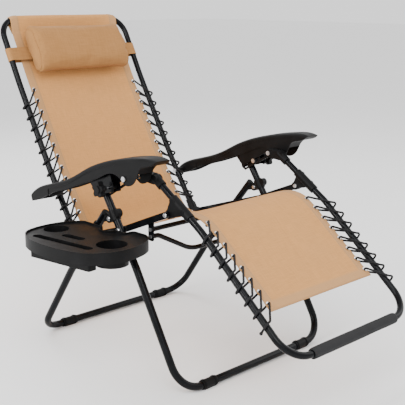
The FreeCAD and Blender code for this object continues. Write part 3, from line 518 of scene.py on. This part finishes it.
def wrap_rows(rows, centre, along, normal, radius):
    """The sleeve over the top bar: up its front, round it and down behind to the seam."""
    beta = math.acos(radius / SLEEVE_REACH)
    half = math.pi - beta
    seam = centre - along * SLEEVE_REACH
    drop = along * (radius * math.cos(beta))
    tangent = normal * (radius * math.sin(beta))
    front = centre - drop + tangent
    behind = centre - drop - tangent
    foot = seam - normal * 0.0034 - along * 0.004

    length = rows[-1].length
    for k in range(1, SLEEVE_STEPS + 1):
        share = k / SLEEVE_STEPS
        gone = length + (front - seam).length * share
        rows.append(Row(seam.lerp(front, share), normal, gone, share))
    length = rows[-1].length
    for k in range(1, BAR_STEPS + 1):
        turned = 2 * half * k / BAR_STEPS
        out = along * math.cos(half - turned) + normal * math.sin(half - turned)
        rows.append(Row(centre + out * radius, out, length + radius * turned, 1.0))
    length = rows[-1].length
    for k in range(1, SLEEVE_STEPS + 1):
        share = k / SLEEVE_STEPS
        gone = length + (foot - behind).length * share
        rows.append(Row(behind.lerp(foot, share), -normal, gone, 1.0 - share))
    return rows


def sling_rows(path, bar, along, normal):
    """Rows of the whole cloth from the front hem to the seam under the top bar."""
    still = [p for p in path if (bar - p).dot(along) > SLEEVE_REACH]
    rows = [Row(point, normal_at(still, i), ROW * i) for i, point in enumerate(still)]
    seam = bar - along * SLEEVE_REACH
    rows.append(Row(seam, normal, rows[-1].length + (seam - rows[-1].middle).length))
    return rows


def sling():
    """The cloth as two sheets that meet across the middle of the seat."""
    path = eased(resample(side_profile(), ROW), 6)
    path = [point - normal_at(path, i) * SURFACE_GAP for i, point in enumerate(path)]
    rest_lace = lengths_of(islands("sling_legrest_eyelets"), path)
    back_lace = lengths_of(islands("sling_back_eyelets"), path)
    pitch = (back_lace[-1] - back_lace[0]) / (len(back_lace) - 1)
    seat_pivot = Vector(JOINTS["recline"]["pos_m"])
    middle = min(range(len(path)), key=lambda i: abs(path[i].y - seat_pivot.y) + (path[i].z > 0.6))

    along = Vector(JOINTS["pillow_height"]["axis"]).normalized()
    normal = Vector((0.0, -along.z, along.y))
    bar = top_bar_middle()
    rows = sling_rows(path, bar, along, normal)
    lower = rows[:middle + 1]
    for row in lower:
        row.end = row.length
    upper = wrap_rows(rows[middle:], bar, along, normal, TUBE_R + 0.0004 + 2 * CLOTH_T)
    front = cloth_mesh("sling_front_cloth", lower, laced(rest_lace, pitch), along, 0.0016)
    back = cloth_mesh("sling_back_cloth", upper, laced(back_lace, pitch), along, 0.0004)
    for piece, nodes in ((front, ("sling_legrest", "sling_seat")), (back, ("sling_back",))):
        paint(piece, "sling_fabric")
        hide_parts(*nodes)
    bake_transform(front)
    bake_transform(back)


def top_bar_middle():
    """Middle of the top bar of the back frame at X 0."""
    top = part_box("back_frame")[1].z
    straight = bar_straight() + 0.001
    near = [p for p in points_of("back_frame") if abs(p.x) < straight and p.z > top - 0.03]
    return Vector((0.0, max(p.y for p in near) - TUBE_R, max(p.z for p in near) - TUBE_R))


# ---- headrest pillow ----------------------------------------------------------------------
RING_POINTS = 72                        # round the pillow's cross section
END_SHARES = (0.0, 0.35, 0.7, 0.9)      # sizes of the rings that close each end
FRAMES = 20                             # of the cloth simulation that fills the pillow


def pillow_frame():
    """Middle, directions and half sizes of the pillow's CAD solid."""
    along = Vector(JOINTS["pillow_height"]["axis"]).normalized()
    normal = Vector((0.0, -along.z, along.y))
    directions = (ACROSS, along, normal)
    points = points_of("headrest_pillow")
    low = [min(p.dot(d) for p in points) for d in directions]
    high = [max(p.dot(d) for p in points) for d in directions]
    middle = sum((d * (a + b) / 2 for d, a, b in zip(directions, low, high)), Vector())
    return middle, along, normal, *((b - a) / 2 for a, b in zip(low, high))


def pillow_ring(x, scale):
    """Cross section of the filled pillow: rounder in front, flat where it lies on the sling."""
    middle, along, normal, _, long, deep = pillow_frame()
    ring = []
    for k in range(RING_POINTS):
        angle = 2 * math.pi * k / RING_POINTS
        c, s = math.cos(angle), math.sin(angle)
        a = math.copysign(abs(c) ** 0.86, c) * long * scale
        n = math.copysign(abs(s) ** (0.92 if s > 0 else 0.62), s) * deep * scale
        ring.append(middle + along * a + normal * n + Vector((x, 0.0, 0.0)))
    return ring


def inflate(piece, cap):
    """Fills a closed cloth shape with pressure, moving no point further than the cap."""
    bpy.context.view_layer.objects.active = piece
    remesh = piece.modifiers.new("Remesh", "REMESH")
    remesh.mode = "VOXEL"
    remesh.voxel_size = 0.0055
    apply_modifiers(piece)
    rest = [vertex.co.copy() for vertex in piece.data.vertices]
    modifier = piece.modifiers.new("Cloth", "CLOTH")
    modifier.settings.use_pressure = True
    modifier.settings.uniform_pressure_force = 4.0
    modifier.settings.effector_weights.gravity = 0.0
    modifier.point_cache.frame_start = 1
    modifier.point_cache.frame_end = FRAMES
    for step in range(1, FRAMES + 1):
        bpy.context.scene.frame_set(step)
    apply_modifiers(piece)
    for vertex, start in zip(piece.data.vertices, rest):
        move = vertex.co - start
        if move.length > cap:
            vertex.co = start + move.normalized() * cap
    bpy.context.scene.frame_set(1)
    piece.data.shade_smooth()


def apply_modifiers(piece):
    """Keeps the mesh that the modifiers give, and drops the modifiers."""
    graph = bpy.context.evaluated_depsgraph_get()
    mesh = bpy.data.meshes.new_from_object(piece.evaluated_get(graph))
    piece.modifiers.clear()
    old = piece.data
    piece.data = mesh
    bpy.data.meshes.remove(old)


def ruffle(piece, middle, half):
    """Small unevenness of the filling, and puckers toward the end seams."""
    for vertex in piece.data.vertices:
        p = vertex.co
        out = p - middle
        ends = smoothstep(abs(out.x), half - 0.07, half)
        out.x = 0.0
        lift = 0.0013 * noise.noise(Vector((p.x * 9.0, p.y * 22.0, p.z * 22.0)))
        lift += 0.0016 * ends * noise.noise(Vector((p.x * 30.0, p.y * 45.0, p.z * 45.0)))
        vertex.co = p + out.normalized() * lift


def pillow():
    middle, along, normal, half, _, _ = pillow_frame()
    ends = [(half - 0.003 * (1 - share), max(0.04, share) * 0.965) for share in END_SHARES]
    rings = [pillow_ring(-x, scale) for x, scale in ends]
    steps = 26
    for k in range(steps + 1):
        u = 2 * k / steps - 1
        rings.append(pillow_ring(u * (half - 0.004), 0.965 + 0.012 * (1 - u * u)))
    rings += [pillow_ring(x, scale) for x, scale in reversed(ends)]
    piece = make_piece("pillow_cushion", *loft(rings))
    inflate(piece, 0.006)
    ruffle(piece, middle, half)
    soften = piece.modifiers.new("Smooth", "SUBSURF")
    soften.levels = 1
    soften.render_levels = 1
    paint(piece, "pillow_fabric")
    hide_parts("headrest_pillow")
    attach(piece, "pillow")
    for side, x in (("left", half - 0.0045), ("right", -half + 0.0045)):
        path = []
        for k in range(RING_POINTS):
            angle = 2 * math.pi * k / RING_POINTS
            ray = along * math.cos(angle) + normal * math.sin(angle)
            hit, place, _, _ = piece.ray_cast(middle + ACROSS * x, ray)
            if hit:
                path.append(place + ray * 0.0004)
        seam = make_piece("pillow_seam_" + side, *loft(tube_round(path, 0.0017, 10), False))
        paint(seam, "pillow_fabric")
        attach(seam, "pillow")


# ---- strap --------------------------------------------------------------------------------
STRAP_PROFILE = [(-0.5, 0.0), (-0.495, 0.0006), (-0.47, 0.0009), (-0.43, 0.0007), (-0.2, 0.0007),
                 (0.0, 0.0007), (0.2, 0.0007), (0.43, 0.0007), (0.47, 0.0009), (0.495, 0.0006), (0.5, 0.0)]
STRAP_OUTLINE = STRAP_PROFILE + [(a, -t) for a, t in reversed(STRAP_PROFILE[1:-1])]


def strap_path(centre, normal, tube_x, reach):
    """Places and outward directions along the strap: front, round a tube, rear, round the other."""
    path = []
    for sign in (1, -1):
        for k in range(41):
            x = sign * (-tube_x + 2 * tube_x * k / 40)
            path.append((centre + ACROSS * x + normal * (sign * reach), normal * sign))
        for k in range(1, 16):
            angle = math.pi / 2 - math.pi * k / 16
            out = ACROSS * (sign * math.cos(angle)) + normal * (sign * math.sin(angle))
            path.append((centre + ACROSS * (sign * tube_x) + out * reach, out))
    return path


def strap():
    """Cloth band that holds the pillow: across the front, round each tube and back behind."""
    points = points_of("pillow_strap")
    _, along, normal, _, _, _ = pillow_frame()
    low, high = (limit(p.dot(along) for p in points) for limit in (min, max))
    rear, front = (limit(p.dot(normal) for p in points) for limit in (min, max))
    centre = along * ((low + high) / 2) + normal * ((front + rear) / 2)
    tube_x = max(p.x for p in points) - (front - rear) / 2
    path = strap_path(centre, normal, tube_x, (front - rear) / 2 - 0.0008)
    rings = []
    for i, (place, out) in enumerate(path):
        ripple = 0.0007 * noise.noise(Vector((place.x * 20.0, i * 0.15, 1.0)))
        width = (high - low) * (1.0 - 0.05 * smoothstep(abs(place.x), tube_x - 0.03, tube_x))
        rings.append([place + along * (a * width) + out * (t + ripple) for a, t in STRAP_OUTLINE])
    rings.append(rings[0])
    piece = make_piece("pillow_strap_cloth", *loft(rings, False))
    paint(piece, "pillow_fabric")
    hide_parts("pillow_strap")
    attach(piece, "pillow")


# ---- foam sleeve --------------------------------------------------------------------------
FOAM_BORE = 0.0097                      # radius inside the sleeve, just clear of the tube


def foam_sections(half, radius):
    """Place along the sleeve and radius of each ring, from the bore of one end to that of the other."""
    end = [(half - 0.0005, FOAM_BORE), (half, FOAM_BORE + 0.001), (half, radius - 0.003),
           (half - 0.001, radius - 0.001), (half - 0.004, radius - 0.0003)]
    inner = half - 0.012
    body = [(-inner + 2 * inner * k / 60, radius) for k in range(61)]
    return [(-x, r) for x, r in end] + body + end[::-1]


def foam_sleeve():
    low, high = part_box("foot_bar_sleeve")
    middle = (low + high) / 2
    rings = []
    for x, r in foam_sections(high.x, (high.z - low.z) / 2):
        ring = []
        for k in range(40):
            angle = 2 * math.pi * k / 40
            dent = 0.0005 * noise.noise(Vector((x * 18.0, math.cos(angle) * 2.0, math.sin(angle) * 2.0)))
            grow = r + (dent if r > FOAM_BORE + 0.002 else 0.0)
            ring.append(middle + Vector((x, grow * math.cos(angle), grow * math.sin(angle))))
        rings.append(ring)
    piece = make_piece("foot_bar_foam", *loft(rings, False))
    paint(piece, "black_foam")
    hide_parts("foot_bar_sleeve")
    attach(piece, "legrest")


# ---- studio -------------------------------------------------------------------------------
LENS = 76.65                            # mm, on a sensor 36 mm wide
EYE = Vector((-1.757, -1.810, 1.050))
LOOK = Vector((0.6808, 0.6949, -0.2314))
ROLL = math.radians(0.22)
LAMP_TARGET = Vector((0.0, 0.1, 0.45))
WORLD_STRENGTH = 1.35
LAMPS = (                               # name, place, size, power in watts
    ("key", (-2.4, -2.6, 3.4), (2.2, 2.2), 120.0),
    ("fill", (3.2, -1.6, 2.2), (2.4, 2.4), 45.0),
    ("rear", (0.6, 3.4, 2.8), (2.0, 2.0), 60.0),
    ("strip", (-3.4, 0.2, 1.9), (0.30, 2.6), 90.0),
)


def camera():
    """The photo's view of the chair."""
    data = bpy.data.cameras.new("camera")
    data.sensor_fit = "HORIZONTAL"
    data.sensor_width = 36.0
    data.lens = LENS
    data.clip_end = 100.0
    look = LOOK.normalized()
    right = look.cross(Vector((0.0, 0.0, 1.0))).normalized()
    tilted = right * math.cos(ROLL) + right.cross(look) * math.sin(ROLL)
    rotation = Matrix((tilted, tilted.cross(look), -look)).transposed().to_4x4()
    piece = bpy.data.objects.new("camera", data)
    piece.matrix_world = Matrix.Translation(EYE) @ rotation
    bpy.context.scene.collection.objects.link(piece)
    bpy.context.scene.camera = piece


def lamp(name, place, size, power):
    data = bpy.data.lights.new(name, "AREA")
    data.shape = "RECTANGLE"
    data.size, data.size_y = size
    data.energy = power
    piece = bpy.data.objects.new(name, data)
    piece.location = place
    piece.rotation_euler = (LAMP_TARGET - Vector(place)).to_track_quat("-Z", "Y").to_euler()
    bpy.context.scene.collection.objects.link(piece)


def studio():
    """Pale floor, white surroundings and area lamps."""
    reach = 30.0
    corners = [(-reach, -reach, 0.0), (reach, -reach, 0.0), (reach, reach, 0.0), (-reach, reach, 0.0)]
    floor = make_piece("floor", corners, [(0, 1, 2, 3)], False)
    floor.data.materials.append(floor_paint())
    world = bpy.data.worlds.new("studio")
    world.use_nodes = True
    background = world.node_tree.nodes["Background"]
    background.inputs["Color"].default_value = (1.0, 1.0, 1.0, 1.0)
    background.inputs["Strength"].default_value = WORLD_STRENGTH
    bpy.context.scene.world = world
    for values in LAMPS:
        lamp(*values)


def main():
    dress_frame()
    camera()
    studio()
    sling()
    pillow()
    strap()
    foam_sleeve()


main()
